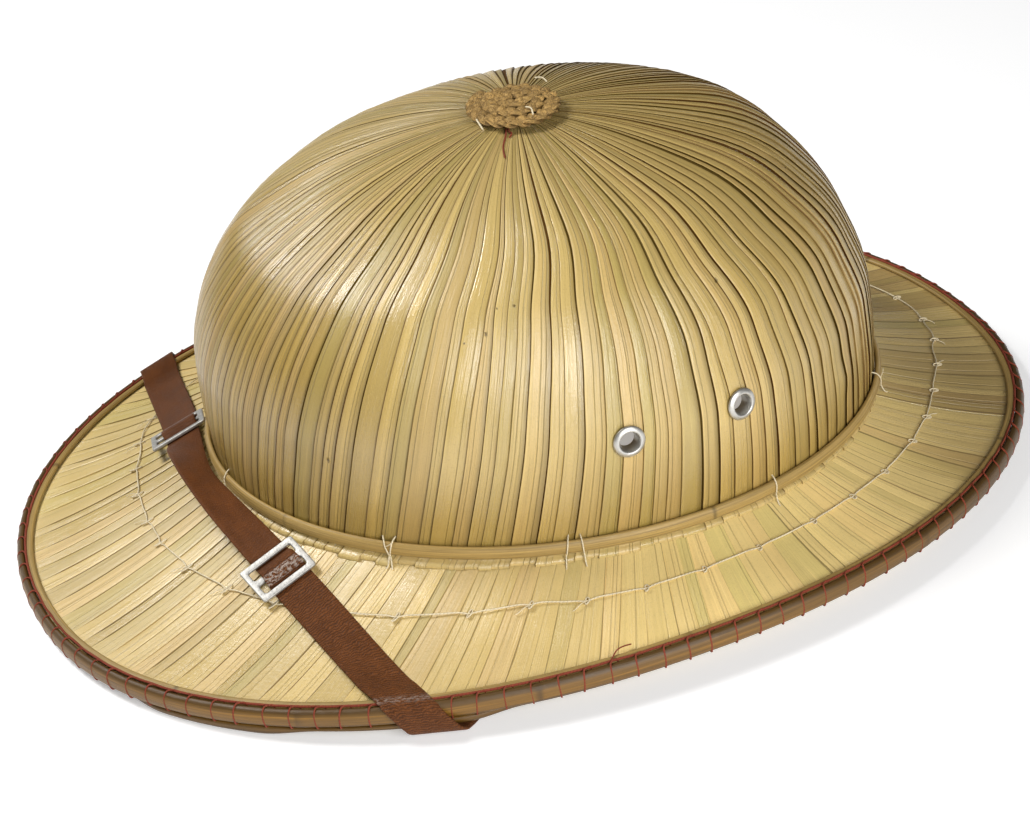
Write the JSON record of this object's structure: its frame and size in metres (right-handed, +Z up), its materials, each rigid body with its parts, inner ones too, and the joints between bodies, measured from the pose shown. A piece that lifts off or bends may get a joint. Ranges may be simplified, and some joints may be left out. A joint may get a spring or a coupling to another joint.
{
  "type": "pith helmet",
  "caption": "Sun helmet of overlapping palm-leaf strips on split-bamboo hoops, with a braided top button, vent eyelets and a leather chin strap worn over the front of the brim.",
  "frame": {"origin": "on the ground under the middle of the rim, between its front and back and its two sides", "axes": "+Z up, -Y towards the front (where the wearer faces), +X towards the wearer's left"},
  "size_m": [0.2882, 0.3662, 0.1424],
  "materials": {
    "palm_leaf": "dry palm-leaf strips, satin, darker at the laps",
    "palm_leaf_brim": "pale dry palm-leaf strips, satin",
    "split_bamboo": "split bamboo, satin",
    "rim_bamboo": "split bamboo with its darker rind outside, satin",
    "braided_raffia": "plaited raffia, matt",
    "brown_leather": "coated brown leather, grained, semi-matt",
    "nickel": "nickel-plated sheet, satin"
  },
  "bodies": {
    "root": {"brim": "palm_leaf_brim", "crown": "palm_leaf", "crown_hoop": "split_bamboo", "eyelet_left_back": "nickel", "eyelet_left_front": "nickel", "eyelet_right_back": "nickel", "eyelet_right_front": "nickel", "rim_hoop_outer": "rim_bamboo", "rim_hoop_top": "split_bamboo", "rim_hoop_under": "rim_bamboo", "slider_left": "nickel", "slider_right": "nickel", "strap": "brown_leather", "strap_pin_left": "nickel", "strap_pin_right": "nickel", "top_button": "braided_raffia"}
  },
  "joints": []
}
